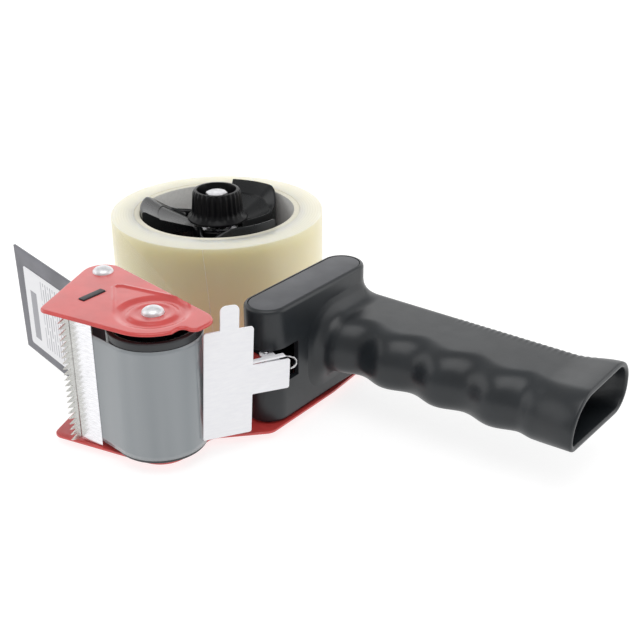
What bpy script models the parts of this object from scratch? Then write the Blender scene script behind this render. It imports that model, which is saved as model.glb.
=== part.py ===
"""Hand-held packing-tape dispenser: a steel side frame, a cheek plate over the roller and the
blade, a pistol-grip handle, and a braked hub that carries a roll of clear tape.

The origin is on the hub's axis, on the surface that the dispenser lies on. +X runs along the
grip, +Y from the cutting head towards the roll, and +Z is up, along the hub and roller axes.
Sizes are in millimetres and are scaled to metres where geometry is made.
"""

import math

import bmesh
import bpy
from mathutils import Matrix, Vector

MM = 0.001
GAP = 0.3

# Tape and roll
TAPE_WIDTH = 48.0
TAPE_LOW = 6.5
TAPE_HIGH = TAPE_LOW + TAPE_WIDTH
ROLL_RADIUS = 52.7
CORE_INNER = 38.4
CORE_OUTER = 41.2

# Steel plates
FRAME_LOW = 2.8
FRAME_HIGH = 4.0
FRAME_REST = FRAME_HIGH + GAP
CHEEK_LOW = 61.0
CHEEK_HIGH = 62.3
CHEEK_REST = CHEEK_LOW - GAP

# Places of the upright axes in plan
PILLAR = (27.0, -100.4)
ROLLER = (71.3, -115.6)
FLAP_PIN = (97.0, -79.3)
SCREWS = ((91.5, -30.0), (91.5, -54.0))

# Roller and film
ROLLER_RADIUS = 18.7
ROLLER_LOW = 5.0
ROLLER_HIGH = 57.6
FILM = 0.15
FILM_RADIUS = ROLLER_RADIUS + 0.25 + FILM / 2

# Fasteners
RIVET_RADIUS = 2.4
RIVET_HEAD = 4.4
RIVET_TOP = CHEEK_HIGH + GAP + 2.0
BOLT_RADIUS = 3.0
SCREW_RADIUS = 1.5
PIN_RADIUS = 1.0

# Handle body
BODY_LOW = FRAME_REST
BODY_HIGH = 56.0
BODY_HALF = 9.7
BODY_X = 91.9
BODY_ENDS = (-71.8, -20.5)
WALL = 2.3
MOUTH_LOW = 22.4
MOUTH_HIGH = 38.4
MOUTH_END = -64.0
CAP_DEPTH = 1.2
CAP_INSET = 1.6

# Grip: where each side of its section lies along X
GRIP_START = 97.0
GRIP_STEADY = 113.0
GRIP_FLARE = 205.0
GRIP_END = 219.5
GRIP_FRONT = (
    (GRIP_START, -59.0), (102.0, -55.0), (106.0, -51.0), (112.0, -48.5),
    (GRIP_FLARE, -48.5), (212.0, -50.0), (GRIP_END, -53.5),
)
GRIP_BACK = (
    (GRIP_START, -14.5), (102.0, -13.0), (107.0, -11.0), (118.0, -9.0),
    (GRIP_FLARE, -8.0), (GRIP_END, -1.6),
)
GRIP_TOP = (
    (GRIP_START, 51.0), (102.0, 47.0), (107.0, 43.0), (GRIP_STEADY, 41.0),
    (GRIP_FLARE, 40.5), (GRIP_END, 42.6),
)
GRIP_UNDER = (
    (GRIP_START, 8.0), (102.0, 12.0), (107.0, 15.5), (GRIP_STEADY, 18.0),
    (GRIP_FLARE, 19.0), (GRIP_END, 19.5),
)
FINGER_PITCH = 25.0
FINGER_FIRST = 133.0
FINGER_DEPTH = 1.6

# Wiper
WIPER_ROOT = (41.2, -113.6)
WIPER_TIP = (-39.4, -93.8)
WIPER_LOW = 5.0
WIPER_HIGH = 56.0
WIPER_SHEET = 1.2
WIPER_HINGE = 1.8
WIPER_LEG = 2.4
LEG_LOW = 5.3
LEG_HIGH = 55.7

# Flap
FLAP_CORNER = (90.7, -111.9, 9.5)
FLAP_HEADING = math.radians(63.0)
FLAP_LEAN = math.radians(3.0)
FLAP_THICKNESS = 0.7
EAR_THICKNESS = 1.3
LUG = (87.4, -79.4)
LUG_WIDTH = 6.2
LUG_HIGH = 36.2

RED = (0.55, 0.035, 0.03)
STEEL = (0.75, 0.75, 0.77)
ZINC = (0.62, 0.62, 0.64)
BLACK = (0.02, 0.022, 0.024)
GREY = (0.16, 0.16, 0.18)


# Scene set-up

def clear_scene():
    for obj in list(bpy.data.objects):
        bpy.data.objects.remove(obj)


def new_collection(name):
    collection = bpy.data.collections.new(name)
    bpy.context.scene.collection.children.link(collection)
    return collection


def make_material(name, colour, roughness, metallic=0.0):
    material = bpy.data.materials.new(name)
    material.use_nodes = True
    shader = material.node_tree.nodes["Principled BSDF"]
    shader.inputs["Base Color"].default_value = (*colour, 1.0)
    shader.inputs["Roughness"].default_value = roughness
    shader.inputs["Metallic"].default_value = metallic
    return material


def finish(obj, colour, roughness, metallic=0.0):
    """Give a part its own material and put it in the dispenser's collection."""
    obj.data.materials.clear()
    obj.data.materials.append(make_material(obj.name, colour, roughness, metallic))
    PARTS.objects.link(obj)
    return obj


def as_cutter(obj):
    obj.hide_render = True
    obj.display_type = "WIRE"
    CUTTERS.objects.link(obj)
    return obj


# Outlines in plan, mm

def arc(centre, radius, start, end, steps):
    """Points from one angle to another, in degrees, counter-clockwise when end is larger."""
    points = []
    for step in range(steps + 1):
        angle = math.radians(start + (end - start) * step / steps)
        points.append((centre[0] + radius * math.cos(angle), centre[1] + radius * math.sin(angle)))
    return points


def circle(centre, radius, steps=16):
    return arc(centre, radius, 0.0, 360.0 * (steps - 1) / steps, steps - 1)


def rounded(corners, steps=4):
    """Closed outline through (x, y, radius) corners, each turned into an arc."""
    outline = []
    for index, (x, y, radius) in enumerate(corners):
        here = Vector((x, y))
        if radius == 0:
            outline.append((x, y))
            continue
        after = corners[(index + 1) % len(corners)]
        back = (Vector(corners[index - 1][:2]) - here).normalized()
        ahead = (Vector(after[:2]) - here).normalized()
        half = back.angle(ahead) / 2
        centre = here + (back + ahead).normalized() * radius / math.sin(half)
        start = here + back * radius / math.tan(half) - centre
        end = here + ahead * radius / math.tan(half) - centre
        first = math.degrees(math.atan2(start.y, start.x))
        sweep = math.degrees(math.atan2(end.y, end.x)) - first
        sweep = (sweep + 180.0) % 360.0 - 180.0
        outline += arc(centre, radius, first, first + sweep, steps)
    return outline


def stadium(half_width, steps=8):
    """The handle body's outline, drawn in by any amount through its half width."""
    near = arc((BODY_X, BODY_ENDS[0]), half_width, 180.0, 360.0, steps)
    far = arc((BODY_X, BODY_ENDS[1]), half_width, 0.0, 180.0, steps)
    return near + far


# Solids

def mesh_object(name, mesh):
    for polygon in mesh.polygons:
        polygon.use_smooth = True
    mesh.set_sharp_from_angle(angle=math.radians(35.0))
    return bpy.data.objects.new(name, mesh)


def bake(obj):
    """Replace a curve object by a welded mesh object of the same name and place."""
    CUTTERS.objects.link(obj)
    bpy.context.view_layer.update()
    graph = bpy.context.evaluated_depsgraph_get()
    mesh = bpy.data.meshes.new_from_object(obj.evaluated_get(graph))
    shape = bmesh.new()
    shape.from_mesh(mesh)
    bmesh.ops.remove_doubles(shape, verts=shape.verts, dist=0.001 * MM)
    bmesh.ops.recalc_face_normals(shape, faces=shape.faces)
    shape.to_mesh(mesh)
    shape.free()
    name = obj.name
    place = obj.matrix_world.copy()
    bpy.data.objects.remove(obj)
    solid = mesh_object(name, mesh)
    solid.matrix_world = place
    return solid


def flat_curve(name, outlines, thickness, edge=0.0):
    """A filled outline of the given thickness, centred on its own plane."""
    curve = bpy.data.curves.new(name, "CURVE")
    curve.dimensions = "2D"
    curve.fill_mode = "BOTH"
    curve.extrude = (thickness / 2 - edge) * MM
    curve.bevel_depth = edge * MM
    curve.bevel_resolution = 1
    curve.offset = -edge * MM
    for outline in outlines:
        spline = curve.splines.new("POLY")
        spline.points.add(len(outline) - 1)
        for point, (x, y) in zip(spline.points, outline):
            point.co = (x * MM, y * MM, 0.0, 1.0)
        spline.use_cyclic_u = True
    return bpy.data.objects.new(name, curve)


def plate(name, outlines, low, high, edge=0.0):
    """A level plate between two heights; outlines after the first are holes."""
    obj = flat_curve(name, outlines, high - low, edge)
    obj.location.z = (low + high) / 2 * MM
    return bake(obj)


def upright(name, outlines, place, heading, thickness, lean=0.0):
    """A standing plate: outline x runs along the heading, outline y upwards."""
    obj = flat_curve(name, outlines, thickness)
    stand = Matrix.Rotation(math.radians(90.0), 4, "X")
    tilt = Matrix.Rotation(-lean, 4, "Z")
    turn = Matrix.Rotation(heading, 4, "Z")
    obj.matrix_world = Matrix.Translation(Vector(place) * MM) @ turn @ stand @ tilt
    return bake(obj)


def rectangle(x0, y0, x1, y1):
    return [(x0, y0), (x1, y0), (x1, y1), (x0, y1)]


def turned(name, centre, profile, steps=32):
    """A solid of revolution from (radius, z) points that run top to bottom outside."""
    mesh = bpy.data.meshes.new(name)
    shape = bmesh.new()
    verts = [shape.verts.new((radius * MM, 0.0, z * MM)) for radius, z in profile]
    closed = profile[0][0] > 0
    for index in range(len(verts) - 1):
        shape.edges.new((verts[index], verts[index + 1]))
    if closed:
        shape.edges.new((verts[-1], verts[0]))
    shape.to_mesh(mesh)
    shape.free()
    obj = bpy.data.objects.new(name, mesh)
    obj.location = (centre[0] * MM, centre[1] * MM, 0.0)
    screw = obj.modifiers.new("turn", "SCREW")
    screw.steps = steps
    screw.render_steps = steps
    screw.use_merge_vertices = True
    screw.merge_threshold = 0.001 * MM
    return bake(obj)


def wire(name, points, radius):
    """A round wire along a list of points in mm."""
    curve = bpy.data.curves.new(name, "CURVE")
    curve.dimensions = "3D"
    curve.bevel_depth = radius * MM
    curve.bevel_resolution = 2
    curve.use_fill_caps = True
    spline = curve.splines.new("POLY")
    spline.points.add(len(points) - 1)
    for point, place in zip(spline.points, points):
        point.co = (*(Vector(place) * MM), 1.0)
    return bake(bpy.data.objects.new(name, curve))


def helix(centre, radius, low, high, turns, start=0.0, per_turn=10):
    points = []
    count = int(round(turns * per_turn))
    for step in range(count + 1):
        angle = start + math.tau * turns * step / count
        x = centre[0] + radius * math.cos(angle)
        y = centre[1] + radius * math.sin(angle)
        points.append((x, y, low + (high - low) * step / count))
    return points


def combine(target, tool, operation, solver):
    """Apply a Boolean to the target at once and drop the tool."""
    CUTTERS.objects.link(target)
    as_cutter(tool)
    boolean = target.modifiers.new(operation, "BOOLEAN")
    boolean.operation = operation
    boolean.solver = solver
    boolean.object = tool
    bpy.context.view_layer.update()
    graph = bpy.context.evaluated_depsgraph_get()
    mesh = bpy.data.meshes.new_from_object(target.evaluated_get(graph))
    name = target.name
    place = target.matrix_world.copy()
    bpy.data.objects.remove(target)
    bpy.data.objects.remove(tool)
    result = mesh_object(name, mesh)
    result.matrix_world = place
    return result


def cut(target, tool, solver="EXACT"):
    return combine(target, tool, "DIFFERENCE", solver)


def join(target, tool, solver="EXACT"):
    return combine(target, tool, "UNION", solver)


# Steel plates

def wiper_slot():
    """The slot that a wiper tab passes through with clearance all round."""
    half = WIPER_LEG / 2 + GAP
    return rectangle(WIPER_ROOT[0] - half, -123.8, WIPER_ROOT[0] + half, -114.4)


def make_side_frame():
    corners = [
        (31.6, -139.2, 4.5),
        (87.2, -128.0, 12.0),
        (85.4, -101.3, 6.0),
        (102.7, -83.0, 6.0),
        (102.6, -40.0, 60.0),
        (99.5, -4.0, 14.0),
        (70.0, 14.0, 30.0),
        (-12.0, 20.0, 18.0),
        (-19.0, -14.0, 16.0),
        (12.8, -89.5, 16.0),
    ]
    holes = [
        circle((0.0, 0.0), BOLT_RADIUS + GAP),
        circle(PILLAR, RIVET_RADIUS + GAP),
        circle(ROLLER, RIVET_RADIUS + GAP),
        wiper_slot(),
    ]
    holes += [circle(place, SCREW_RADIUS + GAP, 12) for place in SCREWS]
    frame = plate("side_frame", [rounded(corners), *holes], FRAME_LOW, FRAME_HIGH)
    root = FRAME_LOW + 0.5
    sloped_top = [(0.0, root), (LUG_WIDTH, root), (LUG_WIDTH, LUG_HIGH - 1.5), (0.0, LUG_HIGH)]
    frame = join(frame, upright("lug", [sloped_top], (*LUG, 0.0), 0.0, EAR_THICKNESS))
    half = 2.9
    x, y = FLAP_PIN
    near = x - 4.0
    far = x + 2.8
    ear = rounded([(near, y - half, 0), (far, y - half, 2.6), (far, y + half, 2.6), (near, y + half, 0)])
    for low in (27.0, 31.0):
        tab = plate("ear", [ear, circle(FLAP_PIN, PIN_RADIUS + GAP, 12)], low, low + EAR_THICKNESS)
        frame = join(frame, tab)
    return finish(frame, RED, 0.35)


def make_cheek_plate():
    nose = [(x, y, 0) for x, y in arc(ROLLER, 19.4, -80.0, -24.0, 8)]
    lobe = [(88.6, -117.0, 1.5), (95.4, -118.9, 3.2), (95.9, -104.4, 8.5)]
    outline = rounded([(12.7, -89.3, 9.0), (34.0, -141.0, 4.5), *nose, *lobe], 5)
    holes = [circle(PILLAR, RIVET_RADIUS + GAP), circle(ROLLER, RIVET_RADIUS + GAP), wiper_slot()]
    return finish(plate("cheek_plate", [outline, *holes], CHEEK_LOW, CHEEK_HIGH), RED, 0.35)


# Cutting head

def rivet(name, centre):
    low_head = FRAME_LOW - GAP
    profile = [
        (0.0, RIVET_TOP),
        (RIVET_HEAD * 0.55, RIVET_TOP - 0.4),
        (RIVET_HEAD * 0.9, RIVET_TOP - 1.2),
        (RIVET_HEAD, CHEEK_HIGH + GAP),
        (RIVET_RADIUS, CHEEK_HIGH + GAP),
        (RIVET_RADIUS, low_head),
        (RIVET_HEAD, low_head),
        (RIVET_HEAD * 0.8, 0.6),
        (RIVET_HEAD * 0.6, 0.0),
        (0.0, 0.0),
    ]
    return finish(turned(name, centre, profile, 24), ZINC, 0.3, 1.0)


def ring(name, centre, outer, inner, low, high, steps=24):
    return turned(name, centre, [(outer, high), (outer, low), (inner, low), (inner, high)], steps)


def make_roller():
    """A drum on a hub, open at both ends round its middle web."""
    hub = RIVET_RADIUS + GAP
    rim = ROLLER_RADIUS - 2.4
    web = (TAPE_LOW + TAPE_HIGH) / 2
    profile = [
        (ROLLER_RADIUS - 0.5, ROLLER_HIGH),
        (ROLLER_RADIUS, ROLLER_HIGH - 0.5),
        (ROLLER_RADIUS, ROLLER_LOW + 0.5),
        (ROLLER_RADIUS - 0.5, ROLLER_LOW),
        (rim, ROLLER_LOW),
        (rim, web - 1.5),
        (hub + 2.6, web - 1.5),
        (hub + 2.6, ROLLER_LOW),
        (hub, ROLLER_LOW),
        (hub, ROLLER_HIGH),
        (hub + 2.6, ROLLER_HIGH),
        (hub + 2.6, web + 1.5),
        (rim, web + 1.5),
        (rim, ROLLER_HIGH),
    ]
    return finish(turned("roller", ROLLER, profile, 40), GREY, 0.5)


def make_blade():
    """A strip with one row of teeth that point away from the roller."""
    low = 5.0
    teeth = 22
    pitch = 2.5
    depth = 2.2
    spine = 3.2
    outline = [(0.0, low), (spine, low)]
    for index in range(teeth):
        outline.append((spine + depth, low + (index + 0.5) * pitch))
        outline.append((spine, low + (index + 1) * pitch))
    outline.append((0.0, low + teeth * pitch))
    blade = upright("blade", [outline], (44.1, -134.4, 0.0), math.radians(-90.0), 0.7)
    return finish(blade, STEEL, 0.25, 1.0)


def make_blade_plate():
    start = Vector((44.9, -134.3))
    run = Vector((55.3, -133.0)) - start
    outline = rectangle(0.0, FRAME_REST, run.length, CHEEK_REST)
    heading = math.atan2(run.y, run.x)
    guard = upright("blade_plate", [outline], (*start, 0.0), heading, 0.8)
    return finish(guard, STEEL, 0.15, 1.0)


def make_wiper():
    """A springy sheet whose root edge is its bending axis."""
    run = Vector(WIPER_TIP) - Vector(WIPER_ROOT)
    heading = math.atan2(run.y, run.x)
    near = WIPER_HINGE
    far = run.length
    slant = 1.0
    sheet = rounded(
        [
            (near, WIPER_LOW, 0), (far - slant, WIPER_LOW, 2.0),
            (far + slant, WIPER_HIGH, 2.0), (near, WIPER_HIGH, 0),
        ]
    )
    wiper = upright("wiper", [sheet], (*WIPER_ROOT, 0.0), heading, WIPER_SHEET)
    return finish(wiper, GREY, 0.5)


def make_wiper_foot():
    """The wiper's fixed leg: its tabs pass through both steel plates."""
    near, far = -0.6, 11.0
    tab = (1.6, 9.8)
    low = FRAME_LOW - 0.4
    high = CHEEK_HIGH + 0.5
    outline = [
        (near, LEG_LOW), (tab[0], LEG_LOW), (tab[0], low), (tab[1], low), (tab[1], LEG_LOW), (far, LEG_LOW),
        (far, LEG_HIGH), (tab[1], LEG_HIGH), (tab[1], high), (tab[0], high), (tab[0], LEG_HIGH), (near, LEG_HIGH),
    ]
    foot = upright("wiper_foot", [outline], (*WIPER_ROOT, 0.0), math.radians(-90.0), WIPER_LEG)
    return finish(foot, GREY, 0.5)


def make_wiper_label():
    run = Vector(WIPER_TIP) - Vector(WIPER_ROOT)
    heading = math.atan2(run.y, run.x)
    side = Vector((run.y, -run.x)).normalized()
    offset = WIPER_SHEET / 2 + GAP / 2 + 0.05
    start = Vector(WIPER_ROOT) - side * offset
    outline = rounded([(12.0, 9.5, 1.5), (75.5, 9.5, 1.5), (75.5, 48.5, 1.5), (12.0, 48.5, 1.5)], 3)
    label = upright("wiper_label", [outline], (*start, 0.0), heading, 0.15)
    return finish(label, (0.85, 0.85, 0.87), 0.4)


# Reel

def make_hub():
    """A boss with three spring vanes that curl out, and rise, to pads on the core."""
    low = TAPE_LOW + 1.5
    boss_high = 47.0
    pad_high = 58.0
    bore = BOLT_RADIUS + GAP
    seat = 43.0
    boss = 13.0
    well = 11.0
    profile = [(boss, boss_high), (boss, low), (bore, low), (bore, seat), (well, seat), (well, boss_high)]
    hub = turned("hub", (0.0, 0.0), profile, 32)
    pad_radius = CORE_INNER - GAP
    thickness = 2.6
    for turn in range(3):
        base = 20.0 + 120.0 * turn
        curl = []
        for step in range(9):
            reach = 13.8 + (pad_radius - 13.8) * math.sin(step / 8 * math.pi / 2)
            curl.append((reach, base + 10.0 * step))
        curl += [(pad_radius, base + angle) for angle in (88.0, 96.0, 104.0)]
        outer = [arc((0.0, 0.0), reach, angle, angle, 1)[0] for reach, angle in curl]
        inner = [arc((0.0, 0.0), reach - thickness, angle, angle, 1)[0] for reach, angle in curl]
        hub = join(hub, plate("vane", [outer + inner[::-1]], low + 0.5, pad_high))
    bowl = [(0.0, 66.0), (31.0, 66.0), (31.0, pad_high - 1.0), (17.0, boss_high), (0.0, boss_high)]
    hub = cut(hub, turned("bowl", (0.0, 0.0), bowl, 32))
    return finish(hub, BLACK, 0.3)


def make_reel():
    make_hub()
    core = ring("paper_core", (0.0, 0.0), CORE_OUTER, CORE_INNER, TAPE_LOW, TAPE_HIGH, 48)
    finish(core, (0.6, 0.58, 0.55), 0.8)
    tape = ring("tape_roll", (0.0, 0.0), ROLL_RADIUS, CORE_OUTER + GAP, TAPE_LOW, TAPE_HIGH, 64)
    finish(tape, (0.8, 0.72, 0.5), 0.3)


def make_film():
    """The tape's free length: roll, roller, and on to the plate beside the blade."""
    leave = Vector(ROLLER)
    distance = leave.length
    cross = math.asin((ROLL_RADIUS + FILM_RADIUS) / distance)
    line = math.atan2(leave.y, leave.x)
    roll_angle = math.degrees(line - (math.pi / 2 - cross))
    roller_angle = roll_angle + 180.0
    start = arc((0.0, 0.0), ROLL_RADIUS + GAP, roll_angle, roll_angle, 1)[0]
    wrap = arc(ROLLER, FILM_RADIUS, roller_angle, roller_angle - 196.0, 18)
    path = [start, *wrap, (55.2, -132.2), (46.4, -133.2)]
    mesh = bpy.data.meshes.new("tape_web")
    shape = bmesh.new()
    low = [shape.verts.new((x * MM, y * MM, TAPE_LOW * MM)) for x, y in path]
    high = [shape.verts.new((x * MM, y * MM, TAPE_HIGH * MM)) for x, y in path]
    for index in range(len(path) - 1):
        shape.faces.new((low[index], low[index + 1], high[index + 1], high[index]))
    shape.to_mesh(mesh)
    shape.free()
    film = mesh_object("tape_web", mesh)
    shell = film.modifiers.new("thickness", "SOLIDIFY")
    shell.thickness = FILM * MM
    shell.offset = 0.0
    return finish(film, (0.62, 0.64, 0.66), 0.1)


# Hub brake

def make_brake():
    head = [(6.0, FRAME_LOW - GAP), (7.0, 1.4), (6.4, 0.0), (0.0, 0.0)]
    shank = [(0.0, 63.5), (BOLT_RADIUS - 0.4, 63.5), (BOLT_RADIUS, 63.0), (BOLT_RADIUS, FRAME_LOW - GAP)]
    finish(turned("hub_bolt", (0.0, 0.0), shank + head, 24), ZINC, 0.3, 1.0)
    washer = ring("friction_washer", (0.0, 0.0), 12.0, BOLT_RADIUS + GAP, FRAME_REST, 7.6)
    finish(washer, (0.35, 0.3, 0.22), 0.8)
    pressure = ring("pressure_washer", (0.0, 0.0), 10.4, BOLT_RADIUS + GAP, 43.3, 44.3)
    finish(pressure, ZINC, 0.3, 1.0)
    coil = helix((0.0, 0.0), 6.4, 45.3, 50.6, 3.5)
    finish(wire("brake_spring", coil, 0.6), ZINC, 0.3, 1.0)
    knob = [
        (10.6, 65.2), (11.4, 64.6), (12.6, 54.0), (15.4, 51.6), (15.4, 50.2), (12.0, 49.6),
        (8.8, 49.6), (8.8, 51.6), (BOLT_RADIUS + GAP, 51.6),
        (BOLT_RADIUS + GAP, 58.0), (9.4, 58.0), (9.6, 65.2),
    ]
    finish(turned("brake_knob", (0.0, 0.0), knob, 40), BLACK, 0.4)
    nut_flats = circle((0.0, 0.0), 5.6, 6)
    nut = plate("hub_nut", [nut_flats, circle((0.0, 0.0), BOLT_RADIUS + GAP)], 58.3, 62.8)
    finish(nut, ZINC, 0.25, 1.0)


# Handle

def blend(x, stations):
    """Value at x on the straight stretches between (x, value) stations."""
    for (x0, v0), (x1, v1) in zip(stations, stations[1:]):
        if x <= x1:
            share = max(0.0, (x - x0) / (x1 - x0))
            return v0 + (v1 - v0) * share
    return stations[-1][1]


def grip_section(x, inset, count=20):
    """Rounded section across the grip at x, its front edge waved for the fingers."""
    front = blend(x, GRIP_FRONT)
    if GRIP_STEADY < x < GRIP_FLARE:
        front -= FINGER_DEPTH * math.cos(math.tau * (x - FINGER_FIRST) / FINGER_PITCH)
    back = blend(x, GRIP_BACK)
    top = blend(x, GRIP_TOP)
    under = blend(x, GRIP_UNDER)
    half_y = (back - front) / 2 - inset
    half_z = (top - under) / 2 - inset
    points = []
    for step in range(count):
        angle = math.tau * step / count
        c, s = math.cos(angle), math.sin(angle)
        y = (front + back) / 2 + half_y * math.copysign(abs(c) ** 0.8, c)
        z = (top + under) / 2 + half_z * math.copysign(abs(s) ** 0.8, s)
        points.append((x, y, z))
    return points


def loft(name, sections):
    mesh = bpy.data.meshes.new(name)
    shape = bmesh.new()
    rings = [[shape.verts.new(Vector(point) * MM) for point in section] for section in sections]
    for ring_a, ring_b in zip(rings, rings[1:]):
        for index in range(len(ring_a)):
            after = (index + 1) % len(ring_a)
            shape.faces.new((ring_a[index], ring_a[after], ring_b[after], ring_b[index]))
    shape.faces.new(rings[0][::-1])
    shape.faces.new(rings[-1])
    bmesh.ops.recalc_face_normals(shape, faces=shape.faces)
    shape.to_mesh(mesh)
    shape.free()
    return mesh_object(name, mesh)


def make_handle():
    """A one-piece moulding: a stadium block that opens downwards, and a hollow grip."""
    body = plate("handle", [stadium(BODY_HALF)], BODY_LOW, BODY_HIGH, 1.5)
    stations = [GRIP_START, 99.5, 102, 104, 106, 109]
    stations += [GRIP_STEADY + FINGER_PITCH / 5 * step for step in range(19)]
    stations += [208, 212, 216, GRIP_END]
    body = join(body, loft("grip", [grip_section(x, 0.0) for x in stations]))
    hollow = [116 + 13.0 * step for step in range(8)] + [GRIP_END + 1.0]
    body = cut(body, loft("grip_hollow", [grip_section(x, WALL) for x in hollow]))
    cap_floor = BODY_HIGH - CAP_DEPTH
    ceiling = cap_floor - WALL
    body = cut(body, plate("body_hollow", [stadium(BODY_HALF - WALL)], 0.0, ceiling))
    body = cut(body, plate("cap_recess", [stadium(BODY_HALF - CAP_INSET)], cap_floor, BODY_HIGH + 5.0))
    mouth = rectangle(BODY_X - BODY_HALF + WALL, -95.0, 120.0, MOUTH_END)
    body = cut(body, plate("mouth", [mouth], MOUTH_LOW, MOUTH_HIGH))
    lug_slot = rectangle(LUG[0] - GAP, -90.0, LUG[0] + LUG_WIDTH + GAP, LUG[1] + 1.0)
    body = cut(body, plate("lug_slot", [lug_slot], 0.0, MOUTH_HIGH))
    for place in SCREWS:
        boss = ring("boss", place, 4.2, SCREW_RADIUS + GAP, FRAME_REST, ceiling + 1.0, 16)
        body = join(body, boss)
    return finish(body, BLACK, 0.35)


def make_handle_trim():
    inset = CAP_INSET + GAP
    cap = plate("handle_cap", [stadium(BODY_HALF - inset)], BODY_HIGH - CAP_DEPTH + GAP, BODY_HIGH - 0.1)
    finish(cap, (0.05, 0.05, 0.055), 0.45)
    for index, place in enumerate(SCREWS):
        profile = [
            (0.0, 22.0),
            (SCREW_RADIUS, 20.5),
            (SCREW_RADIUS, FRAME_LOW - GAP),
            (3.6, FRAME_LOW - GAP),
            (3.2, 0.0),
            (0.0, 0.0),
        ]
        finish(turned(f"handle_screw_{index + 1}", place, profile, 16), ZINC, 0.3, 1.0)


# Retaining flap

def make_flap():
    """A flat T-shaped sheet with a finger tab, an arm and two ears on the hinge pin."""
    outline = rounded(
        [
            (0, 0, 0.8), (20.7, 0, 0.8), (20.7, 17.1, 0), (36.8, 17.1, 0.8), (36.8, 30.3, 0.8),
            (20.7, 30.3, 0), (20.7, 47.2, 1.2), (14.5, 47.2, 0), (14.5, 57.4, 2.2),
            (6.65, 57.4, 2.2), (6.65, 47.2, 0), (0, 47.2, 0.8),
        ],
        3,
    )
    flap = upright("flap", [outline], FLAP_CORNER, FLAP_HEADING, FLAP_THICKNESS, FLAP_LEAN)
    along = Vector((math.cos(FLAP_HEADING), math.sin(FLAP_HEADING)))
    across = Vector((-along.y, along.x))
    pin = Vector(FLAP_PIN)
    reach = (pin - Vector(FLAP_CORNER[:2])).dot(across)
    ear_half = 2.8
    for low in (25.6, 36.6):
        root = pin - across * reach
        sheet = [root - along * ear_half]
        for step in range(7):
            angle = math.pi * step / 6
            sheet.append(pin + ear_half * (across * math.sin(angle) - along * math.cos(angle)))
        sheet.append(root + along * ear_half)
        outlines = [[tuple(point) for point in sheet], circle(FLAP_PIN, PIN_RADIUS + GAP, 12)]
        flap = join(flap, plate("ear", outlines, low, low + 0.9))
    return finish(flap, STEEL, 0.12, 1.0)


def make_flap_hinge():
    low = 25.0
    high = 38.0
    pin = turned("flap_pin", FLAP_PIN, [(0, high), (PIN_RADIUS, high), (PIN_RADIUS, low), (0, low)], 16)
    finish(pin, ZINC, 0.3, 1.0)
    coil = helix(FLAP_PIN, 1.8, 33.0, 35.6, 3.5, math.radians(180.0))
    leg = [(101.0, -76.6, 35.6), (105.5, -75.2, 34.4), (108.6, -76.0, 33.2)]
    finish(wire("flap_spring", coil + leg, 0.35), STEEL, 0.2, 1.0)


clear_scene()
PARTS = new_collection("packing_tape_dispenser")
CUTTERS = new_collection("cutters")
make_side_frame()
make_cheek_plate()
finish(ring("rear_pillar", PILLAR, 4.0, RIVET_RADIUS + GAP, FRAME_REST, CHEEK_REST), ZINC, 0.3, 1.0)
rivet("rear_rivet", PILLAR)
rivet("roller_axle", ROLLER)
finish(ring("roller_washer", ROLLER, 6.0, RIVET_RADIUS + GAP, FRAME_REST, 4.7), ZINC, 0.3, 1.0)
finish(ring("roller_spacer", ROLLER, 5.0, RIVET_RADIUS + GAP, ROLLER_HIGH + GAP, CHEEK_REST), BLACK, 0.4)
make_roller()
make_blade()
make_blade_plate()
make_wiper()
make_wiper_foot()
make_wiper_label()
make_reel()
make_film()
make_brake()
make_handle()
make_handle_trim()
make_flap()
make_flap_hinge()
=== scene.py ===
"""Looks of a hand-held packing-tape dispenser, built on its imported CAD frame.

The frame gives the driving sizes. Lengths are in millimetres in the frame's own axes and become
metres in the mesh helpers; the stage is in metres. Each part, or small group of parts, has a
function, and so has each kind of material.
"""

import math

import bmesh
import bpy
from mathutils import Matrix, Vector


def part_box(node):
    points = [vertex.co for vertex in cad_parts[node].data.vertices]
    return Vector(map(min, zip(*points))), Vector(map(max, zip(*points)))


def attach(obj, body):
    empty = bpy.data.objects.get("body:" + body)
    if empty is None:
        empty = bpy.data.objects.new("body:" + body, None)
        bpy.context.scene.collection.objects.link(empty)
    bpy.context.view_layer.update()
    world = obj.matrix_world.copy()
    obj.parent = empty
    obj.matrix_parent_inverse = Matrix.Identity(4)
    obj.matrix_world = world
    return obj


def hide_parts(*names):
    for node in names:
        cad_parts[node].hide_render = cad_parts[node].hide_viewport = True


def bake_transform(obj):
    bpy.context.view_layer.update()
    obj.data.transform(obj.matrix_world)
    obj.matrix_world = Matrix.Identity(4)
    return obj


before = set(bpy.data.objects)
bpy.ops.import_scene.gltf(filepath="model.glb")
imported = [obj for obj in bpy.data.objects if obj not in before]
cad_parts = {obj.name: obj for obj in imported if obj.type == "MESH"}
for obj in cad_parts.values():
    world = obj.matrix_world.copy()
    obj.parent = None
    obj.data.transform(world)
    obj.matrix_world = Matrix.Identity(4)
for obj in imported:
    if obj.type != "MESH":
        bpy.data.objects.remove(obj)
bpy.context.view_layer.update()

MM = 0.001
WELD = 0.0005
SMOOTH_ANGLE = 32.0


def extent(node):
    """Lowest and highest corner of a CAD node, in mm."""
    low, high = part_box(node)
    return Vector(low) / MM, Vector(high) / MM


def middle(node):
    low, high = extent(node)
    return (low + high) / 2


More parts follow.
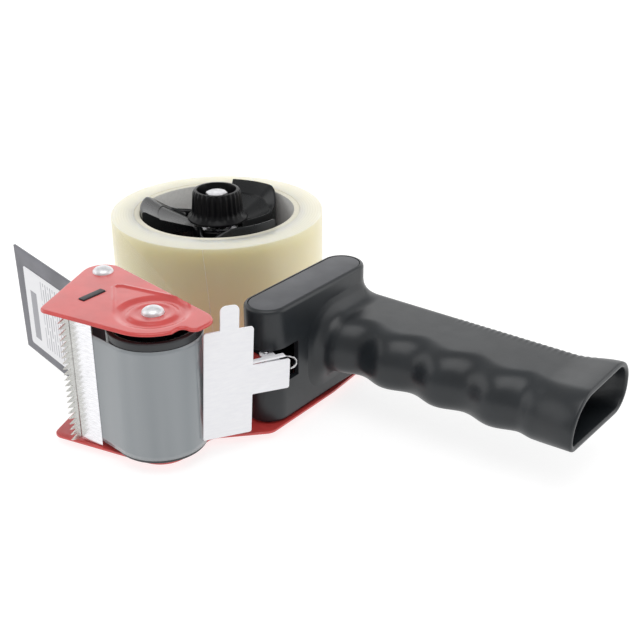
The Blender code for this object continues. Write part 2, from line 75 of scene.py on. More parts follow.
# Driving sizes from the frame, mm
ROLL_LOW, ROLL_HIGH = extent("tape_roll")
ROLL_RADIUS = (ROLL_HIGH.x - ROLL_LOW.x) / 2
CORE_LOW, CORE_HIGH = extent("paper_core")
CORE_OUTER = (CORE_HIGH.x - CORE_LOW.x) / 2
CORE_WALL = 2.8
CORE_INNER = CORE_OUTER - CORE_WALL
TAPE_LOW = ROLL_LOW.z
TAPE_HIGH = ROLL_HIGH.z
PLATE_LOW, PLATE_HIGH = extent("cheek_plate")
BODY_LOW, BODY_HIGH = extent("handle")
AXLE = middle("roller_axle")
PIN = middle("flap_pin")
RIVET_TOP = extent("roller_axle")[1].z
GAP = 0.3


# Outlines, mm

def arc(centre, radius, start, end, steps):
    """Points from one angle to another, in degrees."""
    points = []
    for step in range(steps + 1):
        angle = math.radians(start + (end - start) * step / steps)
        points.append((centre[0] + radius * math.cos(angle), centre[1] + radius * math.sin(angle)))
    return points


def circle(centre, radius):
    steps = 24
    return arc(centre, radius, 0.0, 360.0 * (steps - 1) / steps, steps - 1)


def rounded(corners, steps=8):
    """Outline through (x, y, radius) corners, each turned into an arc."""
    outline = []
    for index, (x, y, radius) in enumerate(corners):
        if radius == 0:
            outline.append((x, y))
            continue
        here = Vector((x, y))
        after = corners[(index + 1) % len(corners)]
        back = (Vector(corners[index - 1][:2]) - here).normalized()
        ahead = (Vector(after[:2]) - here).normalized()
        half = back.angle(ahead) / 2
        centre = here + (back + ahead).normalized() * radius / math.sin(half)
        start = here + back * radius / math.tan(half) - centre
        end = here + ahead * radius / math.tan(half) - centre
        first = math.degrees(math.atan2(start.y, start.x))
        sweep = math.degrees(math.atan2(end.y, end.x)) - first
        sweep = (sweep + 180.0) % 360.0 - 180.0
        outline += arc(centre, radius, first, first + sweep, steps)
    return outline


def rectangle(x0, y0, x1, y1):
    return [(x0, y0), (x1, y0), (x1, y1), (x0, y1)]


def rounded_rectangle(corners, radius, steps=8):
    return rounded([(x, y, radius) for x, y in corners], steps)


def smoothstep(value):
    """A smooth step from 0 to 1."""
    value = min(1.0, max(0.0, value))
    return value * value * (3.0 - 2.0 * value)


# Meshes

def new_object(name, data):
    piece = bpy.data.objects.new(name, data)
    bpy.context.scene.collection.objects.link(piece)
    return piece


def from_bmesh(name, shape, angle=SMOOTH_ANGLE):
    """A smooth mesh object whose edges above an angle, in degrees, stay sharp."""
    bmesh.ops.remove_doubles(shape, verts=shape.verts, dist=WELD * MM)
    bmesh.ops.recalc_face_normals(shape, faces=shape.faces)
    mesh = bpy.data.meshes.new(name)
    shape.to_mesh(mesh)
    shape.free()
    for polygon in mesh.polygons:
        polygon.use_smooth = True
    mesh.set_sharp_from_angle(angle=math.radians(angle))
    return new_object(name, mesh)


def bake(piece):
    """Turn a curve or modified object into a plain mesh object of the same name."""
    bpy.context.view_layer.update()
    graph = bpy.context.evaluated_depsgraph_get()
    mesh = bpy.data.meshes.new_from_object(piece.evaluated_get(graph))
    name = piece.name
    mesh.transform(piece.matrix_world)
    bpy.data.objects.remove(piece)
    shape = bmesh.new()
    shape.from_mesh(mesh)
    bpy.data.meshes.remove(mesh)
    return from_bmesh(name, shape)


def slab(name, outlines, low, high, edge=0.3):
    """A level plate between two heights with rounded edges; later outlines are holes."""
    return bake(sheet_curve(name, outlines, (low, high), edge, Matrix.Identity(4)))


def sheet_curve(name, outlines, span, edge, place):
    curve = bpy.data.curves.new(name, "CURVE")
    curve.dimensions = "2D"
    curve.fill_mode = "BOTH"
    curve.extrude = ((span[1] - span[0]) / 2 - edge) * MM
    curve.bevel_depth = edge * MM
    curve.bevel_resolution = 3
    curve.offset = -edge * MM
    for outline in outlines:
        spline = curve.splines.new("POLY")
        spline.points.add(len(outline) - 1)
        for point, (x, y) in zip(spline.points, outline):
            point.co = (x * MM, y * MM, 0.0, 1.0)
        spline.use_cyclic_u = True
    piece = new_object(name, curve)
    piece.matrix_world = place @ Matrix.Translation((0.0, 0.0, (span[0] + span[1]) / 2 * MM))
    return piece


def upright(name, outlines, place, heading, thickness, lean=0.0, edge=0.1):
    """A standing plate: outline x runs along the heading, outline y upwards."""
    stand = Matrix.Rotation(math.radians(90.0), 4, "X")
    tilt = Matrix.Rotation(-lean, 4, "Z")
    turn = Matrix.Rotation(heading, 4, "Z")
    where = Matrix.Translation(Vector(place) * MM) @ turn @ stand @ tilt
    return bake(sheet_curve(name, outlines, (-thickness / 2, thickness / 2), edge, where))


def turned(name, centre, profile, steps=96, wave=None, angle=SMOOTH_ANGLE):
    """A solid of revolution from closed (radius, z) points; wave(angle, r, z) moves a radius."""
    shape = bmesh.new()
    rings = []
    for step in range(steps):
        turn = math.tau * step / steps
        ring = []
        for radius, z in profile:
            reach = radius if wave is None else wave(turn, radius, z)
            x = centre[0] + reach * math.cos(turn)
            y = centre[1] + reach * math.sin(turn)
            ring.append(shape.verts.new((x * MM, y * MM, z * MM)))
        rings.append(ring)
    for step in range(steps):
        here = rings[step]
        after = rings[(step + 1) % steps]
        for index in range(len(profile) - 1):
            shape.faces.new((here[index], after[index], after[index + 1], here[index + 1]))
    return from_bmesh(name, shape, angle)


def closed_profile(corners):
    """Rounded closed profile for a ring."""
    outline = rounded(corners, 4)
    return outline + outline[:1]


def tube(name, points, radius, smooth=3):
    curve = bpy.data.curves.new(name, "CURVE")
    curve.dimensions = "3D"
    curve.bevel_depth = radius * MM
    curve.bevel_resolution = smooth
    curve.use_fill_caps = True
    spline = curve.splines.new("POLY")
    spline.points.add(len(points) - 1)
    for point, place in zip(spline.points, points):
        point.co = (*(Vector(place) * MM), 1.0)
    return bake(new_object(name, curve))


def loft(name, sections, angle=SMOOTH_ANGLE):
    """Closed skin through sections that are rings of equal count."""
    shape = bmesh.new()
    rings = [[shape.verts.new(Vector(point) * MM) for point in section] for section in sections]
    count = len(rings[0])
    for ring, after in zip(rings, rings[1:]):
        for index in range(count):
            following = (index + 1) % count
            shape.faces.new((ring[index], ring[following], after[following], after[index]))
    shape.faces.new(rings[0][::-1])
    shape.faces.new(rings[-1])
    return from_bmesh(name, shape, angle)


def merge(target, *others):
    """Join meshes into one object."""
    shape = bmesh.new()
    for piece in (target, *others):
        shape.from_mesh(piece.data)
    for piece in others:
        bpy.data.objects.remove(piece)
    name = target.name
    bpy.data.objects.remove(target)
    return from_bmesh(name, shape)


def cut(target, tool):
    modifier = target.modifiers.new("cut", "BOOLEAN")
    modifier.operation = "DIFFERENCE"
    modifier.object = tool
    result = bake(target)
    bpy.data.objects.remove(tool)
    return result


def bevel(piece, width, segments=2, angle=40.0):
    """Round the edges that are sharper than an angle, in degrees."""
    modifier = piece.modifiers.new("edge", "BEVEL")
    modifier.width = width * MM
    modifier.segments = segments
    modifier.limit_method = "ANGLE"
    modifier.angle_limit = math.radians(angle)
    modifier.harden_normals = False


# Materials

class Surface:
    """A Principled material with short calls for the nodes that it needs."""

    def __init__(self, name, colour, roughness, metallic=0.0, **sockets):
        self.material = bpy.data.materials.new(name)
        self.material.use_nodes = True
        self.tree = self.material.node_tree
        self.shader = self.tree.nodes["Principled BSDF"]
        self.shader.inputs["Base Color"].default_value = (*colour, 1.0)
        self.shader.inputs["Roughness"].default_value = roughness
        self.shader.inputs["Metallic"].default_value = metallic
        for socket, value in sockets.items():
            self.shader.inputs[socket.replace("_", " ")].default_value = value
        self.place = self.node("ShaderNodeTexCoord").outputs["Object"]

    def node(self, kind, **values):
        made = self.tree.nodes.new(kind)
        for key, value in values.items():
            if hasattr(made, key):
                setattr(made, key, value)
            else:
                made.inputs[key.replace("_", " ")].default_value = value
        return made

    def link(self, output, target):
        self.tree.links.new(output, target)

    def scaled(self, stretch):
        mapping = self.node("ShaderNodeMapping", Scale=stretch)
        self.link(self.place, mapping.inputs["Vector"])
        return mapping.outputs["Vector"]

    def noise(self, scale, detail=3.0, stretch=(1.0, 1.0, 1.0)):
        texture = self.node("ShaderNodeTexNoise", Scale=scale, Detail=detail)
        self.link(self.scaled(stretch), texture.inputs["Vector"])
        return texture.outputs["Fac"]

    def ramp(self, factor, stops):
        ramp = self.node("ShaderNodeValToRGB")
        elements = ramp.color_ramp.elements
        while len(elements) < len(stops):
            elements.new(0.5)
        for element, (place, colour) in zip(elements, stops):
            element.position = place
            element.color = (*colour, 1.0)
        self.link(factor, ramp.inputs["Fac"])
        return ramp.outputs["Color"]

    def spread(self, factor, low, high):
        """Map a noise value of about 0.3 to 0.7 onto low to high."""
        mapped = self.node("ShaderNodeMapRange", From_Min=0.3, From_Max=0.7, To_Min=low, To_Max=high)
        self.link(factor, mapped.inputs["Value"])
        return mapped.outputs["Result"]

    def math(self, operation, first, second=0.0, third=0.0):
        made = self.node("ShaderNodeMath", operation=operation)
        for socket, value in zip(made.inputs, (first, second, third)):
            if isinstance(value, (int, float)):
                socket.default_value = value
            else:
                self.link(value, socket)
        return made.outputs["Value"]

    def mix(self, factor, under, over):
        """Blend two colours, each three numbers or a node's output."""
        made = self.node("ShaderNodeMix", data_type="RGBA")
        self.link(factor, made.inputs["Factor"])
        for name, value in (("A", under), ("B", over)):
            if isinstance(value, tuple):
                made.inputs[name].default_value = (*value, 1.0)
            else:
                self.link(value, made.inputs[name])
        return made.outputs["Result"]

    def axes(self):
        split = self.node("ShaderNodeSeparateXYZ")
        self.link(self.place, split.inputs["Vector"])
        return split.outputs["X"], split.outputs["Y"], split.outputs["Z"]

    def colour(self, output):
        self.link(output, self.shader.inputs["Base Color"])

    def mottle(self, factor, colour, share, edge=0.3):
        """Vary the base colour, by a noise value, from a share darker to a share lighter."""
        dark = tuple(value * (1.0 - share) for value in colour)
        light = tuple(min(1.0, value * (1.0 + share)) for value in colour)
        self.colour(self.ramp(factor, [(edge, dark), (1.0 - edge, light)]))

    def roughness(self, output):
        self.link(output, self.shader.inputs["Roughness"])

    def bump(self, height, strength, distance):
        """Add a bump on top of those that the shader already has."""
        made = self.node("ShaderNodeBump", Strength=strength, Distance=distance * MM)
        self.link(height, made.inputs["Height"])
        socket = self.shader.inputs["Normal"]
        if socket.links:
            self.link(socket.links[0].from_socket, made.inputs["Normal"])
        self.link(made.outputs["Normal"], socket)


def enamel(name, colour):
    """Gloss stove enamel on sheet steel, with a faint orange peel."""
    surface = Surface(name, colour, 0.32, Coat_Weight=0.6, Coat_Roughness=0.12)
    surface.mottle(surface.noise(90.0), colour, 0.07, 0.35)
    surface.roughness(surface.spread(surface.noise(137.0), 0.28, 0.36))
    surface.bump(surface.noise(333.0, 0.0), 0.05, 0.02)
    return surface.material


def moulded(name, colour, roughness, grain=1500.0, depth=0.03, gloss=0.5):
    """Moulded plastic with a fine grain and a slow change of sheen."""
    surface = Surface(name, colour, roughness, Specular_IOR_Level=gloss)
    surface.mottle(surface.noise(61.3), colour, 0.15, 0.35)
    surface.roughness(surface.spread(surface.noise(137.0), roughness - 0.03, roughness + 0.03))
    surface.bump(surface.noise(grain, 0.0), 0.2, depth)
    return surface.material


def bright_metal(name, colour, roughness, stretch=(1.0, 1.0, 1.0), depth=0.01):
    """Plated or ground steel: streaks along one direction and a light mottle."""
    surface = Surface(name, colour, roughness, 1.0)
    surface.mottle(surface.noise(300.0, 4.0, stretch), colour, 0.1)
    streak = surface.noise(1400.0, 3.0, stretch)
    surface.roughness(surface.spread(streak, roughness * 0.7, roughness * 1.4))
    surface.bump(streak, 0.3, depth)
    return surface.material


def satin_metal():
    """Zinc-coated sheet with a soft brushed sheen."""
    surface = Surface("flap_steel", (0.88, 0.88, 0.91), 0.5, 0.3)
    mottle = surface.noise(220.0, 4.0, (1.0, 1.0, 5.0))
    surface.colour(surface.ramp(mottle, [(0.3, (0.86, 0.86, 0.89)), (0.7, (0.90, 0.90, 0.92))]))
    surface.roughness(surface.spread(surface.noise(900.0, 3.0, (1.0, 1.0, 6.0)), 0.42, 0.56))
    return surface.material


def hammered(name, colour):
    """Rivet heads that were peened over."""
    surface = Surface(name, colour, 0.45, 0.8)
    surface.mottle(surface.noise(500.0), colour, 0.12)
    surface.roughness(surface.spread(surface.noise(900.0), 0.38, 0.52))
    surface.bump(surface.noise(320.0, 1.0), 0.3, 0.12)
    return surface.material


def card(name, colour):
    """Fibre board or paper: a mottle of fibres and a faint tooth."""
    surface = Surface(name, colour, 0.75)
    surface.mottle(surface.noise(700.0, 5.0), colour, 0.12)
    surface.bump(surface.noise(1200.0, 4.0), 0.3, 0.05)
    return surface.material


def ring_waves(surface, pitch):
    """A wave in the distance from the hub's axis, 0 to 1."""
    x, y, _ = surface.axes()
    squares = surface.math("ADD", surface.math("MULTIPLY", x, x), surface.math("MULTIPLY", y, y))
    radius = surface.math("SQRT", squares)
    turns = surface.math("MULTIPLY", radius, math.tau / (pitch * MM))
    wave = surface.math("SINE", turns)
    return surface.math("MULTIPLY_ADD", wave, 0.5, 0.5)


def by_facing(surface, side, end):
    """One colour on upright faces and another on faces that look up or down."""
    geometry = surface.node("ShaderNodeNewGeometry")
    normal = surface.node("ShaderNodeSeparateXYZ")
    surface.link(geometry.outputs["Normal"], normal.inputs["Vector"])
    return surface.mix(surface.math("ABSOLUTE", normal.outputs["Z"]), side, end)


def core_board():
    """Wound paper tube: grey-white inside, and cut ends that take the tape's cream."""
    surface = Surface("core_paper", (0.75, 0.745, 0.725), 0.75)
    fibres = surface.noise(700.0, 5.0)
    side = surface.ramp(fibres, [(0.3, (0.70, 0.695, 0.68)), (0.7, (0.78, 0.775, 0.755))])
    end = surface.ramp(fibres, [(0.3, (0.70, 0.67, 0.55)), (0.7, (0.76, 0.73, 0.61))])
    surface.colour(by_facing(surface, side, end))
    surface.bump(surface.noise(1200.0, 4.0), 0.3, 0.05)
    return surface.material


def wound_tape():
    """Clear tape in many layers: cream on its end faces, honey on its side.

    The weak glow, strongest low down, is painted light: an emission that brightens the roll's shaded lower
    part, in place of light that passes through the real roll.
    """
    cream = (0.78, 0.735, 0.60)
    bottom_painted_glow = 0.17
    surface = Surface("wound_tape", cream, 0.4, Coat_Weight=0.2, Coat_Roughness=0.1,
                      Subsurface_Weight=0.7, Subsurface_Scale=1.0, Subsurface_Radius=(0.024, 0.020, 0.013),
                      Sheen_Weight=0.7, Sheen_Roughness=0.4, Sheen_Tint=(1.0, 0.97, 0.88, 1.0),
                      Emission_Color=(0.93, 0.92, 0.60, 1.0))
    mottle = surface.noise(25.0, 2.0, (1.0, 1.0, 0.35))
    side = surface.ramp(mottle, [(0.3, (0.77, 0.69, 0.41)), (0.7, (0.80, 0.72, 0.455))])
    layers = ring_waves(surface, 1.3)
    end = surface.ramp(layers, [(0.0, (0.735, 0.70, 0.55)), (1.0, (0.785, 0.75, 0.605))])
    surface.colour(by_facing(surface, side, end))
    # Painted light: the emission falls from full strength at z = 0 to none at the roll's top, brightening
    # the shaded lower part.
    height = surface.math("DIVIDE", surface.axes()[2], TAPE_HIGH * MM)
    painted_glow = surface.math("MULTIPLY_ADD", height, -bottom_painted_glow, bottom_painted_glow)
    surface.link(painted_glow, surface.shader.inputs["Emission Strength"])
    surface.roughness(surface.spread(surface.noise(120.0), 0.34, 0.48))
    surface.bump(ring_waves(surface, 0.45), 0.2, 0.04)
    surface.bump(surface.noise(70.0, 1.0, (1.0, 1.0, 0.2)), 0.25, 0.25)
    return surface.material


def clear_film():
    """One layer of clear tape, grey where it lies over the dark roller."""
    surface = Surface("clear_film", (0.33, 0.355, 0.375), 0.16, Coat_Weight=0.6, Coat_Roughness=0.05)
    tone = surface.noise(60.0, 2.0, (1.0, 1.0, 0.05))
    surface.colour(surface.ramp(tone, [(0.3, (0.20, 0.225, 0.24)), (0.7, (0.285, 0.305, 0.32))]))
    surface.roughness(surface.spread(surface.noise(200.0, 2.0, (1.0, 1.0, 0.1)), 0.12, 0.24))
    surface.bump(surface.noise(45.0, 1.0, (1.0, 1.0, 0.08)), 0.2, 0.3)
    return surface.material


def clear_tape():
    """Clear tape with nothing behind it: mostly see-through, with a gloss."""
    surface = Surface("clear_tape", (0.85, 0.84, 0.80), 0.2, Alpha=0.03, Specular_IOR_Level=0.1)
    surface.roughness(surface.spread(surface.noise(200.0, 2.0, (1.0, 1.0, 0.1)), 0.15, 0.3))
    return surface.material


def label_print(origin, heading):
    """A plain white sticker with rows of thin grey bars and a grey panel, and no lettering."""
    paper = (0.80, 0.80, 0.82)
    surface = Surface("label_print", paper, 0.4)
    facing = (math.radians(90.0), 0.0, heading)
    mapping = surface.node("ShaderNodeMapping", vector_type="TEXTURE", Location=Vector(origin) * MM,
                           Rotation=facing)
    surface.link(surface.place, mapping.inputs["Vector"])
    split = surface.node("ShaderNodeSeparateXYZ")
    surface.link(mapping.outputs["Vector"], split.inputs["Vector"])
    along, up = split.outputs["X"], split.outputs["Y"]
    turned_axes = surface.node("ShaderNodeCombineXYZ")
    surface.link(up, turned_axes.inputs["X"])
    surface.link(along, turned_axes.inputs["Y"])
    bricks = surface.node("ShaderNodeTexBrick", offset=0.37, Scale=1.0, Mortar=(*paper, 1.0),
                          Color1=(0.36, 0.36, 0.39, 1.0), Color2=(0.50, 0.50, 0.53, 1.0),
                          Mortar_Size=0.8 * MM, Mortar_Smooth=0.1,
                          Brick_Width=12.0 * MM, Row_Height=2.3 * MM)
    surface.link(turned_axes.outputs["Vector"], bricks.inputs["Vector"])

    def between(value, low, high):
        above = surface.math("GREATER_THAN", value, low * MM)
        return surface.math("MULTIPLY", above, surface.math("LESS_THAN", value, high * MM))

    rows = surface.math("MULTIPLY", between(along, 16.0, 60.0), between(up, 12.5, 46.0))
    panel = surface.math("MULTIPLY", between(along, 64.5, 70.5), between(up, 14.0, 38.0))
    print_colour = surface.mix(rows, paper, bricks.outputs["Color"])
    surface.colour(surface.mix(panel, print_colour, (0.30, 0.30, 0.33)))
    surface.bump(surface.noise(600.0), 0.1, 0.02)
    return surface.material


def paint(piece, material):
    piece.data.materials.clear()
    piece.data.materials.append(material)


def show(piece, body, material, slot, *nodes):
    """Finish a piece: its material, the body it rides on and the CAD nodes it stands for."""
    paint(piece, material)
    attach(piece, body)
    if nodes:
        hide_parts(*nodes)


RED = enamel("red_enamel", (0.60, 0.055, 0.05))
BLACK = moulded("handle_plastic", (0.013, 0.016, 0.019), 0.34, 1490.0)
CAP_BLACK = moulded("cap_plastic", (0.075, 0.078, 0.086), 0.5, 2600.0, 0.06)
HUB_BLACK = moulded("hub_plastic", (0.005, 0.006, 0.007), 0.28, 900.0, 0.02, 0.35)
KNOB_BLACK = moulded("knob_plastic", (0.004, 0.004, 0.005), 0.3, 900.0, 0.02, 0.16)
ROLLER_GREY = moulded("roller_plastic", (0.028, 0.030, 0.033), 0.25)
WIPER_GREY = moulded("wiper_plastic", (0.13, 0.13, 0.15), 0.42)
TAB_GREY = moulded("tab_plastic", (0.03, 0.03, 0.035), 0.45)
ZINC = bright_metal("zinc_plate", (0.66, 0.66, 0.68), 0.3)
PEENED = hammered("peened_steel", (0.78, 0.78, 0.80))
BLADE_STEEL = bright_metal("blade_steel", (0.70, 0.70, 0.66), 0.34, (1.0, 1.0, 6.0))
POLISHED = bright_metal("polished_steel", (0.86, 0.86, 0.885), 0.22, (1.0, 1.0, 8.0), 0.004)
SATIN = satin_metal()
SPRING_WIRE = bright_metal("spring_wire", (0.72, 0.72, 0.73), 0.22)
FIBRE = card("brake_fibre", (0.22, 0.17, 0.11))
PAPER = core_board()
SEAM = card("tape_edge", (0.90, 0.88, 0.78))
TAPE = wound_tape()
FILM = clear_film()
CLEAR = clear_tape()


# Steel plates

FRAME_LOW, FRAME_HIGH = extent("side_frame")
SHEET = 1.2
FOOT_LOW, FOOT_HIGH = extent("wiper_foot")
TAB_SPARE = 0.3
TAB_NEAR = -125.0
TAB_FAR = -113.4
SCREWS = [middle("handle_screw_1"), middle("handle_screw_2")]
LUG_HIGH = FRAME_HIGH.z


def slot_outline(margin):
    """The hole in both plates for the wiper's tab, a margin wider than the tab."""
    x0 = FOOT_LOW.x - TAB_SPARE - margin
    x1 = FOOT_HIGH.x + TAB_SPARE + margin
    return rectangle(x0, TAB_NEAR - margin, x1, TAB_FAR + margin)


def side_plate():
    corners = [
        (31.6, -139.2, 4.5), (87.2, -128.0, 12.0), (85.4, -101.3, 6.0), (102.7, -83.0, 6.0),
        (102.6, -40.0, 60.0), (99.5, -4.0, 14.0), (70.0, 14.0, 30.0), (-12.0, 20.0, 18.0),
        (-19.0, -14.0, 16.0), (12.8, -89.5, 16.0),
    ]
    low = FRAME_LOW.z
    outlines = [rounded(corners, 14), slot_outline(GAP)]
    plate = slab("side_plate", outlines, low, low + SHEET, 0.4)
    root = low + 0.3
    lug = rounded([(0.0, root, 0), (6.2, root, 0), (6.2, LUG_HIGH - 1.5, 0.8), (0.0, LUG_HIGH, 0.8)], 3)
    lug = upright("lug", [lug], (87.4, -79.4, 0.0), 0.0, 1.3, 0.0, 0.25)
    ears = []
    for height in (27.0, 31.0):
        x0, x1 = PIN.x - 4.0, PIN.x + 2.8
        y0, y1 = PIN.y - 2.9, PIN.y + 2.9
        ear = rounded([(x0, y0, 0), (x1, y0, 2.6), (x1, y1, 2.6), (x0, y1, 0)], 6)
        ears.append(slab("ear", [ear, circle(PIN, 1.3)], height, height + 1.3, 0.25))
    plate = merge(plate, lug, *ears)
    show(plate, "frame", RED, "side_frame", "side_frame")


def segment_distance(x, y, start, end):
    """Distance from a place to a segment, and the share of the segment nearest to it."""
    run = (end[0] - start[0], end[1] - start[1])
    share = ((x - start[0]) * run[0] + (y - start[1]) * run[1]) / (run[0] ** 2 + run[1] ** 2)
    share = min(1.0, max(0.0, share))
    return math.hypot(x - start[0] - run[0] * share, y - start[1] - run[1] * share), share


def cheek_height(x, y):
    """Pressed relief of the cheek plate at a place in plan: a rib and a dished seat."""
    rib = [(62.0, -127.4), (52.3, -118.0), (42.6, -109.0), (42.6, -106.8), (44.6, -105.5),
           (57.1, -103.0), (70.5, -100.5), (76.5, -101.6), (81.5, -106.0)]
    height = 0.0
    count = len(rib) - 1
    for index in range(count):
        gap, share = segment_distance(x, y, rib[index], rib[index + 1])
        place = (index + share) / count
        fade = smoothstep(place / 0.16) * smoothstep((1.0 - place) / 0.14)
        height = max(height, 0.6 * fade * math.exp(-(gap / 0.85) ** 2))
    reach = math.hypot(x - AXLE.x, y - AXLE.y)
    dish = smoothstep((15.4 - reach) / 3.6)
    inner = smoothstep((11.0 - reach) / 2.4)
    well = smoothstep((8.0 - reach) / 2.4)
    return height * (1.0 - dish) - 1.0 * dish + 0.85 * inner - 0.25 * well


def cheek():
    nose = [(x, y, 0) for x, y in arc(AXLE, 19.4, -80.0, -24.0, 20)]
    lobe = [(88.6, -117.0, 2.5), (95.4, -118.9, 3.2), (95.9, -104.4, 8.5)]
    corners = rounded([(12.7, -89.3, 9.0), (34.0, -140.9, 4.5), *nose, *lobe], 12)
    outline = resample(corners, 360)
    normals = outward(outline)
    top = PLATE_HIGH.z
    edge = 1.0
    sheet = 0.95
    inset_outline = [(x - nx * edge, y - ny * edge) for (x, y), (nx, ny) in zip(outline, normals)]
    rings = face_rings(inset_outline, lambda x, y: top + cheek_height(x, y))
    for step in range(8):
        turn = math.radians(90.0 * step / 7)
        inset = edge * (1.0 - math.sin(turn))
        drop = edge * (1.0 - math.cos(turn))
        rings.append([
            (x - nx * inset, y - ny * inset, top - drop) for (x, y), (nx, ny) in zip(outline, normals)
        ])
    rings.append([(x, y, PLATE_LOW.z + 0.15) for x, y in outline])

    def underside(x, y):
        return min(PLATE_LOW.z, top - sheet + cheek_height(x, y))

    rings += face_rings(inset_outline, underside)[::-1]
    plate = loft("cheek_plate_pressed", rings)
    plate = cut(plate, slab("slot_tool", [slot_outline(GAP)], PLATE_LOW.z - 2.0, top + 2.0, 0.05))
    show(plate, "frame", RED, "cheek_plate", "cheek_plate")


def face_rings(outline, height):
    """Nested copies of an outline round a middle point, each point at its own height."""
    centre = Vector((56.0, -112.0))
    count = 70
    rings = []
    for step in range(1, count + 1):
        share = step / count
        ring = []
        for x, y in outline:
            px = centre.x + (x - centre.x) * share
            py = centre.y + (y - centre.y) * share
            ring.append((px, py, height(px, py)))
        rings.append(ring)
    return rings


def resample(outline, count):
    """The same closed outline with evenly spaced points."""
    points = [Vector(point[:2]) for point in outline]
    points.append(points[0])
    lengths = [(after - here).length for here, after in zip(points, points[1:])]
    total = sum(lengths)
    result = []
    index = 0
    passed = 0.0
    for step in range(count):
        target = total * step / count
        while passed + lengths[index] < target:
            passed += lengths[index]
            index += 1
        share = (target - passed) / max(lengths[index], 1e-9)
        result.append(tuple(points[index].lerp(points[index + 1], share)))
    return result


def outward(outline):
    """Outward unit normals of a counter-clockwise outline, from neighbouring points."""
    normals = []
    count = len(outline)
    for index in range(count):
        back = outline[index - 1]
        ahead = outline[(index + 1) % count]
        run = Vector((ahead[0] - back[0], ahead[1] - back[1])).normalized()
        normals.append((run.y, -run.x))
    return normals


# Fasteners

def rivet_head(name, node):
    """A long rivet: peened dome on the cheek plate, shank, and a flat head below."""
    centre = middle(node)
    top = RIVET_TOP
    base = PLATE_HIGH.z - 0.6
    dome = []
    for step in range(15):
        turn = math.radians(90.0 * step / 14)
        dome.append((4.4 * math.sin(turn), base + 0.5 + (top - base - 0.5) * math.cos(turn)))
    shank = [(4.5, base + 0.3), (2.4, base), (2.4, 2.5), (4.4, 2.5), (4.0, 0.8), (3.0, 0.0), (0.0, 0.0)]
    piece = turned(name, centre, dome + shank, 64)
    show(piece, "frame", PEENED, node, node)


def bolt_and_screws():
    low_head = [(6.2, 2.4), (7.0, 1.9), (7.0, 1.2), (6.5, 0.25), (5.6, 0.0), (0.0, 0.0)]
    shank = [(0.0, 63.4), (2.4, 63.4), (3.0, 62.8), (3.0, 2.5)]
    bolt = turned("hub_bolt_turned", (0.0, 0.0), shank + low_head, 48)
    show(bolt, "frame", ZINC, "hub_bolt", "hub_bolt")
    for index, centre in enumerate(SCREWS):
        point = [(0.0, 22.0), (1.5, 20.4), (1.5, 2.5)]
        head = [(3.6, 2.5), (3.55, 1.2), (3.1, 0.2), (2.6, 0.0), (0.0, 0.0)]
        screw = turned(f"handle_screw_turned_{index + 1}", centre, point + head, 40)
        node = f"handle_screw_{index + 1}"
        show(screw, "frame", ZINC, node, node)


# Roller and tape

def roller():
    low, high = extent("roller")
    radius = (high.x - low.x) / 2
    rim = radius - 2.4
    boss = 5.3
    web = (low.z + high.z) / 2
    corners = [
        (radius, high.z, 0.6), (radius, low.z, 0.6), (rim, low.z, 0.3), (rim, web - 1.5, 0.8),
        (boss, web - 1.5, 0.8), (boss, low.z, 0.3), (2.7, low.z, 0.2), (2.7, high.z, 0.2),
        (boss, high.z, 0.3), (boss, web + 1.5, 0.8), (rim, web + 1.5, 0.8), (rim, high.z, 0.3),
    ]
    drum = turned("roller_drum", AXLE, closed_profile(corners), 128)
    show(drum, "roller", ROLLER_GREY, "roller", "roller")


def film_sheet(name, path, material):
    """A strip of the free tape that stands on a path in plan."""
    low, high = extent("tape_web")
    rows = 24
    shape = bmesh.new()
    grid = []
    for x, y in path:
        column = []
        for row in range(rows + 1):
            z = low.z + (high.z - low.z) * row / rows
            column.append(shape.verts.new((x * MM, y * MM, z * MM)))
        grid.append(column)
    for here, after in zip(grid, grid[1:]):
        for row in range(rows):
            shape.faces.new((here[row], after[row], after[row + 1], here[row + 1]))
    sheet = from_bmesh(name, shape)
    shell = sheet.modifiers.new("thickness", "SOLIDIFY")
    shell.thickness = 0.12 * MM
    shell.offset = 0.0
    show(sheet, "frame", material, "tape_web", "tape_web")


def film():
    """The free length of tape: roll to roller, round the roller, and on to the tape rest."""
    roller_low, roller_high = extent("roller")
    wrap_radius = (roller_high.x - roller_low.x) / 2 + 0.3
    cross = math.asin((ROLL_RADIUS + wrap_radius) / math.hypot(AXLE.x, AXLE.y))
    line = math.atan2(AXLE.y, AXLE.x)
    roll_angle = math.degrees(line - (math.pi / 2 - cross))
    start = Vector(arc((0.0, 0.0), ROLL_RADIUS + 0.25, roll_angle, roll_angle, 1)[0])
    corner = Vector((55.9, -133.0))
    to_corner = corner - AXLE.to_2d()
    off_line = math.acos(wrap_radius / to_corner.length)
    leave = math.degrees(math.atan2(to_corner.y, to_corner.x) + off_line)
    wrap = [Vector(point) for point in arc(AXLE, wrap_radius, roll_angle + 180.0, leave, 72)]
    end = Vector((46.4, -133.4))
    free = [start.lerp(wrap[0], step / 20) for step in range(21)]
    lead = [wrap[-1].lerp(corner, step / 4) for step in range(1, 5)]
    lead += [corner.lerp(end, step / 6) for step in range(1, 7)]
    film_sheet("tape_free_span", [tuple(point) for point in free], CLEAR)
    film_sheet("tape_on_roller", [tuple(point) for point in wrap + lead], FILM)


